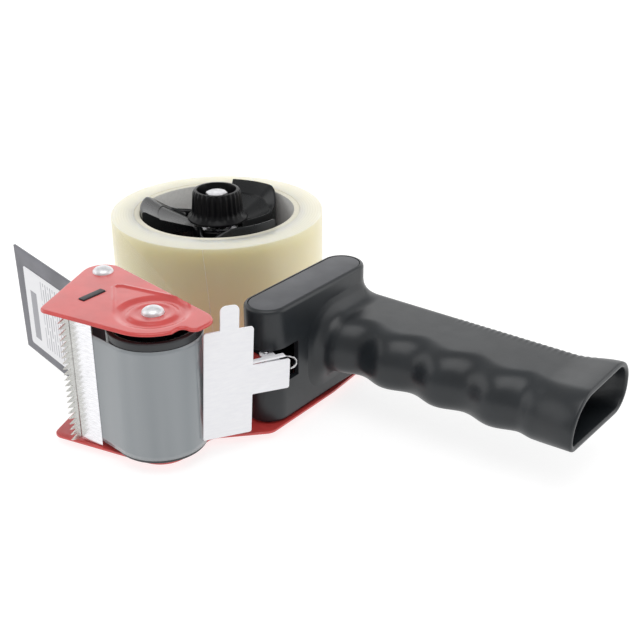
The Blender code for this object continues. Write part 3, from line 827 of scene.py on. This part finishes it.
def roll():
    corners = [
        (ROLL_RADIUS, TAPE_HIGH, 0.5), (ROLL_RADIUS, TAPE_LOW, 0.5),
        (CORE_OUTER + 0.02, TAPE_LOW, 0.1), (CORE_OUTER + 0.02, TAPE_HIGH, 0.1),
    ]
    profile = closed_profile(corners)

    def windings(angle, radius, z):
        if radius < ROLL_RADIUS - 1.0:
            return radius
        return radius - 0.06 + 0.05 * math.sin(3.0 * angle + z * 0.07)

    tape = turned("tape_windings", (0.0, 0.0), profile, 192, windings)
    show(tape, "reel", TAPE, "tape_roll", "tape_roll")
    core_corners = [
        (CORE_OUTER, TAPE_HIGH - 0.1, 0.2), (CORE_OUTER, TAPE_LOW, 0.2),
        (CORE_INNER, TAPE_LOW, 0.3), (CORE_INNER, TAPE_HIGH - 0.1, 0.3),
    ]
    core = turned("paper_tube", (0.0, 0.0), closed_profile(core_corners), 160)
    show(core, "reel", PAPER, "paper_core", "paper_core")


def roll_seam():
    """The slanted edge of the outer layer, a bright thin line on the roll's side."""
    points = []
    steps = 24
    for step in range(steps + 1):
        share = step / steps
        angle = math.radians(-55.5 + 3.9 * share)
        z = TAPE_HIGH - 0.6 - (TAPE_HIGH - TAPE_LOW - 1.2) * share
        reach = ROLL_RADIUS - 0.03
        points.append((reach * math.cos(angle), reach * math.sin(angle), z))
    seam = tube("tape_seam", points, 0.13, 2)
    show(seam, "reel", SEAM, "tape_roll")


# Hub and brake

HUB_LOW, HUB_HIGH = extent("hub")
VANES = 3
VANE_STEPS = 48
VANE_START = 20.0
VANE_SWEEP = 99.0
VANE_ROOT = 13.2
VANE_ROOT_RIM = 48.9


def vane_section(turn, base):
    """Cross-section of a vane at a turn of 0 to 1 from its root to its pad."""
    angle = math.radians(base + VANE_SWEEP * turn)
    rise = smoothstep((turn - 0.40) / 0.26)
    reach_out = smoothstep((turn - 0.06) / 0.60)
    outer = VANE_ROOT + (CORE_INNER - GAP - VANE_ROOT) * reach_out
    inner = max(11.4, outer - 2.6 - 6.0 * rise)
    rim = VANE_ROOT_RIM + (HUB_HIGH.z - VANE_ROOT_RIM) * rise
    lip = rim - 0.8 - 3.4 * rise
    low = HUB_LOW.z + 0.8
    web = (outer - 2.5) + (12.3 - outer + 2.5) * smoothstep((turn - 0.34) / 0.2)
    corners = [
        (outer, low), (outer, rim - 0.7), (outer - 0.25, rim - 0.2), (outer - 0.8, rim),
        (outer - 1.8, rim - 0.25), (inner + 0.8, lip + 0.2), (inner + 0.2, lip - 0.1),
        (inner, lip - 0.7), (web, 46.2 + 0.5 * rise), (web, 44.4), (outer - 2.5, lip - 8.0),
        (outer - 2.2, low),
    ]
    return [(reach * math.cos(angle), reach * math.sin(angle), z) for reach, z in corners]


def hub():
    boss = [
        (13.0, 46.4), (12.6, 47.0), (11.2, 47.0), (11.0, 46.8), (11.0, 43.0), (3.3, 43.0),
        (3.3, HUB_LOW.z), (12.6, HUB_LOW.z), (13.0, HUB_LOW.z + 0.5), (13.0, 46.4),
    ]
    centre = turned("hub_moulding", (0.0, 0.0), boss, 96)
    vanes = []
    for index in range(VANES):
        base = VANE_START + 360.0 / VANES * index
        sections = [vane_section(step / VANE_STEPS, base) for step in range(VANE_STEPS + 1)]
        vanes.append(loft("vane", sections))
    whole = merge(centre, *vanes)
    bevel(whole, 0.25, 2, 50.0)
    show(whole, "reel", HUB_BLACK, "hub", "hub")


def knob():
    """Brake knob with a fluted skirt and a flange, and a deep recess for the nut."""
    low, high = extent("brake_knob")
    skirt = [(10.3, high.z), (11.2, high.z - 0.15), (11.7, high.z - 0.9), (12.0, high.z - 2.0)]
    skirt += [(12.0 + 0.75 * step / 8, high.z - 2.0 - 9.2 * step / 8) for step in range(1, 9)]
    flange = [(13.4, 52.6), (14.8, 51.5), (15.1, 51.0), (15.1, 50.6), (14.7, 50.1), (12.2, low.z)]
    inside = [(8.8, low.z), (8.8, 51.6), (3.3, 51.6), (3.3, 58.0), (9.2, 58.0), (9.4, 58.3)]
    inside += [(9.6, high.z - 0.6), (9.9, high.z)]
    profile = skirt + flange + inside
    profile.append(profile[0])
    flute_count = 26
    flute_low = 53.0

    def flutes(angle, radius, z):
        on_skirt = radius > 11.0 and flute_low < z < high.z - 0.5
        if not on_skirt:
            return radius
        depth = 0.65 * smoothstep((z - flute_low) / 1.5)
        return radius - depth * math.sin(flute_count / 2 * angle) ** 2 + 0.1

    piece = turned("knob_fluted", (0.0, 0.0), profile, 264, flutes, 50.0)
    show(piece, "knob", KNOB_BLACK, "brake_knob", "brake_knob")


def nut():
    """Hexagonal lock nut whose corners are turned down to a dome."""
    low, high = extent("hub_nut")
    corner = 5.6
    half_side = math.radians(30.0)
    across = corner * math.cos(half_side)
    sections = []
    top = high.z + 1.2
    straight = [(0.3, low.z), (0.0, low.z + 0.3), (0.0, top - 1.0)]
    dome = [(0.35, top - 0.5), (1.1, top - 0.2), (2.6, top)]
    for inset, z in straight + dome:
        ring = []
        for step in range(72):
            angle = math.tau * step / 72
            sector = (angle + half_side) % (2.0 * half_side) - half_side
            reach = min(across / math.cos(sector), corner - inset)
            ring.append((reach * math.cos(angle), reach * math.sin(angle), z))
        sections.append(ring)
    piece = loft("lock_nut", sections)
    show(piece, "knob", PEENED, "hub_nut", "hub_nut")


def coil_points(centre, radius, low, high, turns, start=0.0, per_turn=36):
    """Points on a helix between two heights."""
    points = []
    count = int(turns * per_turn)
    for step in range(count + 1):
        angle = start + math.tau * turns * step / count
        z = low + (high - low) * step / count
        points.append((centre[0] + radius * math.cos(angle), centre[1] + radius * math.sin(angle), z))
    return points


def brake_spring():
    low, high = extent("brake_spring")
    wire = 0.6
    radius = (high.x - low.x) / 2 - wire
    coil = coil_points((0.0, 0.0), radius, low.z + wire, high.z - wire, 3.5)
    show(tube("brake_coil", coil, wire), "frame", SPRING_WIRE, "brake_spring", "brake_spring")


# Cutting head

def blade():
    """Serrated strip: a narrow spine with slanted teeth."""
    low, high = extent("blade")
    teeth = 22
    pitch = (high.z - low.z) / teeth
    spine = 1.9
    depth = 3.5
    outline = [(0.0, low.z), (spine, low.z)]
    for index in range(teeth):
        outline.append((spine + depth, low.z + (index + 0.42) * pitch))
        outline.append((spine + 0.05, low.z + (index + 0.97) * pitch))
        outline.append((spine, low.z + (index + 1) * pitch))
    outline.append((0.0, high.z))
    strip = upright("blade_strip", [outline], (44.1, -134.4, 0.0), math.radians(-90.0), 0.7, 0.0, 0.12)
    show(strip, "frame", BLADE_STEEL, "blade", "blade")


def guard():
    """The polished plate behind the blade that the tape's end lies on."""
    start = Vector((44.6, -134.34))
    run = Vector((55.3, -133.0)) - start
    low, high = extent("blade_plate")
    outline = rounded_rectangle(rectangle(0.0, low.z, run.length, high.z), 0.6, 3)
    heading = math.atan2(run.y, run.x)
    plate = upright("tape_rest", [outline], (*start, 0.0), heading, 0.8, 0.0, 0.15)
    show(plate, "frame", POLISHED, "blade_plate", "blade_plate")


ROOT = Vector((41.2, -113.6))
TIP = Vector((-39.4, -93.8))
WIPER_LOW = 5.0
WIPER_HIGH = 56.0
WIPER_ROWS = 28
WIPER_SLANT = 1.0
BEND = 2.4
BEND_STEPS = 8
BLADE_STEPS = 60
LEG_REACHES = (10.8, 9.0, 7.0, 5.0, 3.5, BEND)


def wiper_path():
    """Plan of the wiper: its leg between the plates, the bend, and the free blade."""
    run = TIP - ROOT
    ahead = run.normalized()
    leg = [ROOT + Vector((0.0, -1.0)) * reach for reach in LEG_REACHES]
    bend = []
    for step in range(1, BEND_STEPS + 1):
        share = step / (BEND_STEPS + 1)
        first = leg[-1].lerp(ROOT, share)
        second = ROOT.lerp(ROOT + ahead * BEND, share)
        bend.append(first.lerp(second, share))
    free = []
    for step in range(BLADE_STEPS + 1):
        free.append(ROOT + ahead * (BEND + (run.length - BEND) * (step / BLADE_STEPS)))
    return leg + bend + free


def wiper_columns(path, index):
    """Both faces of the sheet at one point of its path, each an upright row of places."""
    before = path[max(0, index - 1)]
    after = path[min(len(path) - 1, index + 1)]
    along = (after - before).normalized()
    side = Vector((along.y, -along.x))
    past_leg = index - len(LEG_REACHES)
    reach = max(0.0, (past_leg - BEND_STEPS) / BLADE_STEPS)
    half = 0.6 + 0.55 * (1.0 - smoothstep(past_leg / (BEND_STEPS + 4)))
    columns = []
    for sign in (-1.0, 1.0):
        column = []
        for row in range(WIPER_ROWS + 1):
            share = row / WIPER_ROWS
            shift = WIPER_SLANT * reach * (2.0 * share - 1.0)
            place = path[index] + side * half * sign + along * shift
            z = WIPER_LOW + (WIPER_HIGH - WIPER_LOW) * share
            column.append((place.x * MM, place.y * MM, z * MM))
        columns.append(column)
    return columns


def wiper_skin():
    path = wiper_path()
    shape = bmesh.new()
    pairs = []
    for index in range(len(path)):
        columns = wiper_columns(path, index)
        pairs.append([[shape.verts.new(place) for place in column] for column in columns])
    for (left, right), (left_after, right_after) in zip(pairs, pairs[1:]):
        for row in range(WIPER_ROWS):
            shape.faces.new((left[row], left_after[row], left_after[row + 1], left[row + 1]))
            shape.faces.new((right[row], right[row + 1], right_after[row + 1], right_after[row]))
        shape.faces.new((left[0], right[0], right_after[0], left_after[0]))
        shape.faces.new((left[-1], left_after[-1], right_after[-1], right[-1]))
    for left, right in (pairs[0], pairs[-1]):
        for row in range(WIPER_ROWS):
            shape.faces.new((left[row], left[row + 1], right[row + 1], right[row]))
    return from_bmesh("wiper_sheet", shape)


def wiper():
    """One springy sheet that bends at its root."""
    sheet = wiper_skin()
    bevel(sheet, 0.3, 3)
    sheet = bake(sheet)
    paint(sheet, WIPER_GREY)
    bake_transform(sheet)
    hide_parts("wiper")


def wiper_tabs():
    """The ends of the wiper's leg, which pass through both plates."""
    outline = rounded_rectangle(slot_outline(0.0), 0.3)
    below = slab("wiper_tabs", [outline], FOOT_LOW.z, WIPER_LOW - 0.1, 0.25)
    above = slab("wiper_tabs", [outline], WIPER_HIGH + 0.1, FOOT_HIGH.z, 0.25)
    show(merge(below, above), "frame", TAB_GREY, "wiper_foot", "wiper_foot")


def label():
    """The sticker on the wiper's near face."""
    run = TIP - ROOT
    heading = math.atan2(run.y, run.x)
    side = Vector((run.y, -run.x)).normalized()
    start = ROOT - side * 0.72
    outline = rounded_rectangle(rectangle(12.0, 9.5, 75.5, 48.5), 1.5, 6)
    sticker = upright("label_sticker", [outline], (*start, 0.0), heading, 0.12, 0.0, 0.03)
    origin = (start.x, start.y, 0.0)
    show(sticker, "wiper", label_print(origin, heading), "wiper_label", "wiper_label")


# Handle

BODY_MID_X = 91.9
BODY_HALF = 9.7
BODY_NEAR = -71.8
BODY_FAR = -20.5
GRIP_START = BODY_MID_X + BODY_HALF - 0.03
GRIP_END = BODY_HIGH.x
GRIP_WALL = 2.4
GRIP_LIP = 0.9
GRIP_STEPS = 260
GRIP_SMOOTH_ANGLE = 60.0
FLARE = 8.0
SECTION_COUNT = 112
BODY_WALL = 2.3
WINDOW_LOW = 22.4
WINDOW_HIGH = 38.4


def flare(x):
    """How far the grip's surface stands out where it leaves the body, a quarter round."""
    share = min(1.0, max(0.0, (GRIP_START + FLARE - x) / FLARE))
    return FLARE * (1.0 - math.sqrt(max(0.0, 1.0 - share * share)))


def lobe(x):
    """Finger bulges: 1 on a bulge, 0 in a groove."""
    wave = 0.5 + 0.5 * math.cos(math.tau * (x - 133.0) / 25.0)
    fade = smoothstep((x - 101.0) / 8.0) * smoothstep((203.0 - x) / 10.0)
    return wave * fade + 0.5 * (1.0 - fade)


def grip_section(x, inset):
    """Section across the grip: flat top, round front for the fingers, flat underside, back."""
    bulge = lobe(x) - 0.5
    out = flare(x)
    mouth = smoothstep((x - 200.0) / 19.0)
    front = -49.6 - 3.2 * bulge - out - 3.4 * mouth + inset
    back = -8.6 - 0.45 * out + 8.0 * mouth - inset
    top = 41.2 + out + 2.0 * mouth - inset
    under = 17.6 - out + 1.4 * mouth + inset
    shoulder = 14.0 - 0.6 * bulge + 1.6 * mouth + 0.4 * out - inset
    chin = 8.2 - 2.4 * mouth + 0.3 * out - inset
    corners = [
        (back, top, 4.2 + 7.8 * mouth - inset), (front, top, shoulder),
        (front, under + 2.6 * mouth, chin), (back, under, 7.0 + 3.0 * mouth - inset),
    ]
    outline = resample(rounded(corners, 24), SECTION_COUNT)
    return [body_fit(x, y, z + grip_ribs(x, y - back, z - top)) for y, z in outline]


def grip_ribs(x, across, up):
    """Fine ribs that cross the grip's upper back edge."""
    near_edge = math.exp(-((across + 2.4) ** 2 + (up + 0.6) ** 2) / 6.0)
    stretch = smoothstep((x - 144.0) / 4.0) * smoothstep((212.0 - x) / 4.0)
    return 0.14 * near_edge * stretch * math.cos(math.tau * x / 2.6)


def body_fit(x, y, z):
    """Draw a grip point in near the body, so that the flare follows the body's round end."""
    beyond = max(0.0, y - BODY_FAR)
    recess = BODY_HALF - math.sqrt(max(0.0, BODY_HALF ** 2 - min(beyond, BODY_HALF) ** 2))
    return (x - recess * (1.0 - smoothstep((x - GRIP_START) / 14.0)), y, z)


def grip_shell():
    """The hollow grip: its outside, the rounded lip of its open end, and its inside."""
    end = GRIP_END - GRIP_LIP
    depth = 95.0
    rings = []
    for step in range(GRIP_STEPS + 1):
        rings.append(grip_section(GRIP_START + (end - GRIP_START) * step / GRIP_STEPS, 0.0))
    for step in range(1, 9):
        turn = math.radians(180.0 * step / 9)
        inset = GRIP_WALL / 2 * (1.0 - math.cos(turn))
        rings.append([(end + GRIP_LIP * math.sin(turn), y, z) for _, y, z in grip_section(end, inset)])
    for step in range(40):
        rings.append(grip_section(end - depth * step / 39, GRIP_WALL))
    return loft("grip_shell", rings, GRIP_SMOOTH_ANGLE)


def stadium(half_width):
    """Plan of the handle's body, with two round ends."""
    near = arc((BODY_MID_X, BODY_NEAR), half_width, 180.0, 360.0, 24)
    far = arc((BODY_MID_X, BODY_FAR), half_width, 0.0, 180.0, 24)
    return near + far


def handle():
    """Hollow body with its window and the lug's pocket, the grip, and the inset cap."""
    top = BODY_HIGH.z
    low = BODY_LOW.z
    body = slab("handle_moulding", [stadium(BODY_HALF)], low, top, 1.6)
    window = rectangle(BODY_MID_X - BODY_HALF + BODY_WALL, -95.0, 120.0, -64.0)
    cuts = [
        (stadium(BODY_HALF - BODY_WALL), 0.0, top - 3.5, 0.3),
        (stadium(BODY_HALF - 1.6), top - 1.2, top + 5.0, 0.2),
        (window, WINDOW_LOW, WINDOW_HIGH, 0.4),
        # Below the window the lug's pocket stops 1.15 mm inside the near end. The thin black skin left in
        # front stands for the shade in the open slot: painted shade.
        (rectangle(87.1, -80.35, 93.9, -78.4), 0.0, 24.0, 0.2),
        (rectangle(87.1, -90.0, 93.9, -78.4), WINDOW_LOW, WINDOW_HIGH, 0.2),
    ]
    for outline, base, high, edge in cuts:
        body = cut(body, slab("tool", [outline], base, high, edge))
    whole = merge(body, grip_shell())
    show(whole, "frame", BLACK, "handle", "handle")
    cap_low, cap_high = extent("handle_cap")
    cap = slab("top_cap", [stadium(BODY_HALF - 1.9)], cap_low.z, cap_high.z, 0.3)
    show(cap, "frame", CAP_BLACK, "handle_cap", "handle_cap")


# Flap

FLAP_CORNER = Vector((90.7, -111.9, 9.5))
FLAP_HEADING = math.radians(63.0)
FLAP_LEAN = math.radians(3.0)


def flap():
    """T-shaped sheet with two ears on the hinge pin and a small folded flange."""
    corners = [
        (0, 0, 0.9), (20.7, 0, 0.9), (20.7, 17.1, 0.4), (36.8, 17.1, 0.9), (36.8, 30.3, 0.9),
        (20.7, 30.3, 0.4), (20.7, 47.2, 1.2), (14.5, 47.2, 0.4), (14.5, 57.4, 2.4),
        (6.65, 57.4, 2.4), (6.65, 47.2, 0.4), (0, 47.2, 0.9),
    ]
    sheet = upright("flap_sheet", [rounded(corners, 5)], FLAP_CORNER, FLAP_HEADING, 0.7, FLAP_LEAN, 0.12)
    along = Vector((math.cos(FLAP_HEADING), math.sin(FLAP_HEADING)))
    across = Vector((-along.y, along.x))
    pin = PIN.xy
    reach = (pin - FLAP_CORNER.xy).dot(across)
    ear_radius = 2.8
    ears = []
    for height in (25.6, 36.6):
        root = pin - across * reach
        outline = [root - along * ear_radius]
        for step in range(17):
            angle = math.pi * step / 16
            outline.append(pin + ear_radius * (across * math.sin(angle) - along * math.cos(angle)))
        outline.append(root + along * ear_radius)
        outlines = [[tuple(point) for point in outline], circle(pin, 1.3)]
        ears.append(slab("ear", outlines, height, height + 0.9, 0.15))
    place = FLAP_CORNER.to_2d() + along * 21.2 + across * 0.9
    far = place + along * 15.2
    flange = [place - across, far - across, far + across * 1.4, place + across * 1.4]
    ears.append(slab("flange", [[tuple(point) for point in flange]], 38.9, 39.7, 0.2))
    whole = merge(sheet, *ears)
    show(whole, "flap", SATIN, "flap", "flap")


def flap_spring():
    """Coil round the hinge pin, with a leg that bends back in a U."""
    coil = coil_points(PIN, 1.8, 33.0, 35.6, 3.5, math.radians(180.0), 28)
    leg = [(101.0, -76.6, 36.4), (106.5, -76.1, 37.4), (108.0, -74.9, 36.8), (109.0, -74.7, 35.8),
           (109.3, -75.2, 34.6), (108.9, -76.1, 33.5), (107.8, -77.0, 32.8)]
    wire = tube("flap_coil", coil + leg, 0.35)
    show(wire, "flap", SPRING_WIRE, "flap_spring", "flap_spring")


def hinge_pin():
    low, high = extent("flap_pin")
    upper = [(0.0, high.z), (0.8, high.z), (1.0, high.z - 0.2)]
    lower = [(1.0, low.z + 0.2), (0.8, low.z), (0.0, low.z)]
    pin = turned("hinge_pin", PIN, upper + lower, 32)
    show(pin, "frame", ZINC, "flap_pin", "flap_pin")


# Stage, in metres

WHITE = (1.0, 1.0, 1.0, 1.0)
FLOOR_REACH = 30.0
FLOOR_DROP = 0.0002
FLOOR_GREY = (0.3, 0.3, 0.3)
SKY_STRENGTH = 0.52
LIGHT_DISTANCE = 1.3


def area_light(name, place, target, size, power):
    light = bpy.data.lights.new(name, "AREA")
    light.shape = "RECTANGLE"
    light.size, light.size_y = size
    light.energy = power
    lamp = new_object(name, light)
    lamp.location = place
    lamp.rotation_euler = (Vector(target) - Vector(place)).to_track_quat("-Z", "Y").to_euler()
    lamp.visible_camera = False


def stage():
    floor_mesh = bpy.data.meshes.new("floor")
    shape = bmesh.new()
    bmesh.ops.create_grid(shape, x_segments=1, y_segments=1, size=FLOOR_REACH)
    shape.to_mesh(floor_mesh)
    shape.free()
    floor = new_object("floor", floor_mesh)
    floor.location.z = extent("hub_bolt")[0].z * MM - FLOOR_DROP
    surface = Surface("floor_paint", FLOOR_GREY, 0.8, Emission_Strength=0.8, Emission_Color=WHITE)
    surface.mottle(surface.noise(3.0), FLOOR_GREY, 1.0 / 30.0)
    paint(floor, surface.material)
    world = bpy.data.worlds.new("studio")
    world.use_nodes = True
    background = world.node_tree.nodes["Background"]
    background.inputs["Color"].default_value = WHITE
    background.inputs["Strength"].default_value = SKY_STRENGTH
    scene = bpy.context.scene
    scene.world = world
    scene.view_settings.view_transform = "Standard"
    centre = Vector((0.07, -0.05, 0.03))
    area_light("overhead", centre + Vector((0.16, -0.22, 1.2)), centre, (0.95, 0.95), 5.6)
    for name, heading, height, size, power in (
        ("back", 125.0, 0.42, (2.2, 0.8), 5.0),
        ("left", 205.0, 0.55, (1.4, 1.1), 5.0),
        ("right", 45.0, 0.55, (1.4, 1.1), 5.0),
    ):
        turn = math.radians(heading)
        reach = Vector((math.cos(turn), math.sin(turn), 0.0)) * LIGHT_DISTANCE
        place = centre + reach + Vector((0.0, 0.0, height))
        area_light(name, place, centre, size, power)


def camera():
    data = bpy.data.cameras.new("camera")
    data.sensor_width = 36.0
    data.lens = 60.42
    view = new_object("camera", data)
    view.location = (0.34718, -0.37385, 0.24045)
    view.rotation_euler = (math.radians(63.99), 0.0, math.radians(37.1))
    bpy.context.scene.camera = view


camera()
stage()
side_plate()
cheek()
rivet_head("rear_rivet_peened", "rear_rivet")
rivet_head("roller_axle_peened", "roller_axle")
bolt_and_screws()
roller()
film()
roll()
roll_seam()
hub()
knob()
nut()
brake_spring()
blade()
guard()
wiper()
wiper_tabs()
label()
handle()
flap()
flap_spring()
hinge_pin()
for node, material in (("rear_pillar", ZINC), ("roller_washer", ZINC), ("roller_spacer", HUB_BLACK),
                       ("friction_washer", FIBRE), ("pressure_washer", ZINC)):
    for material_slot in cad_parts[node].material_slots:
        material_slot.material = material
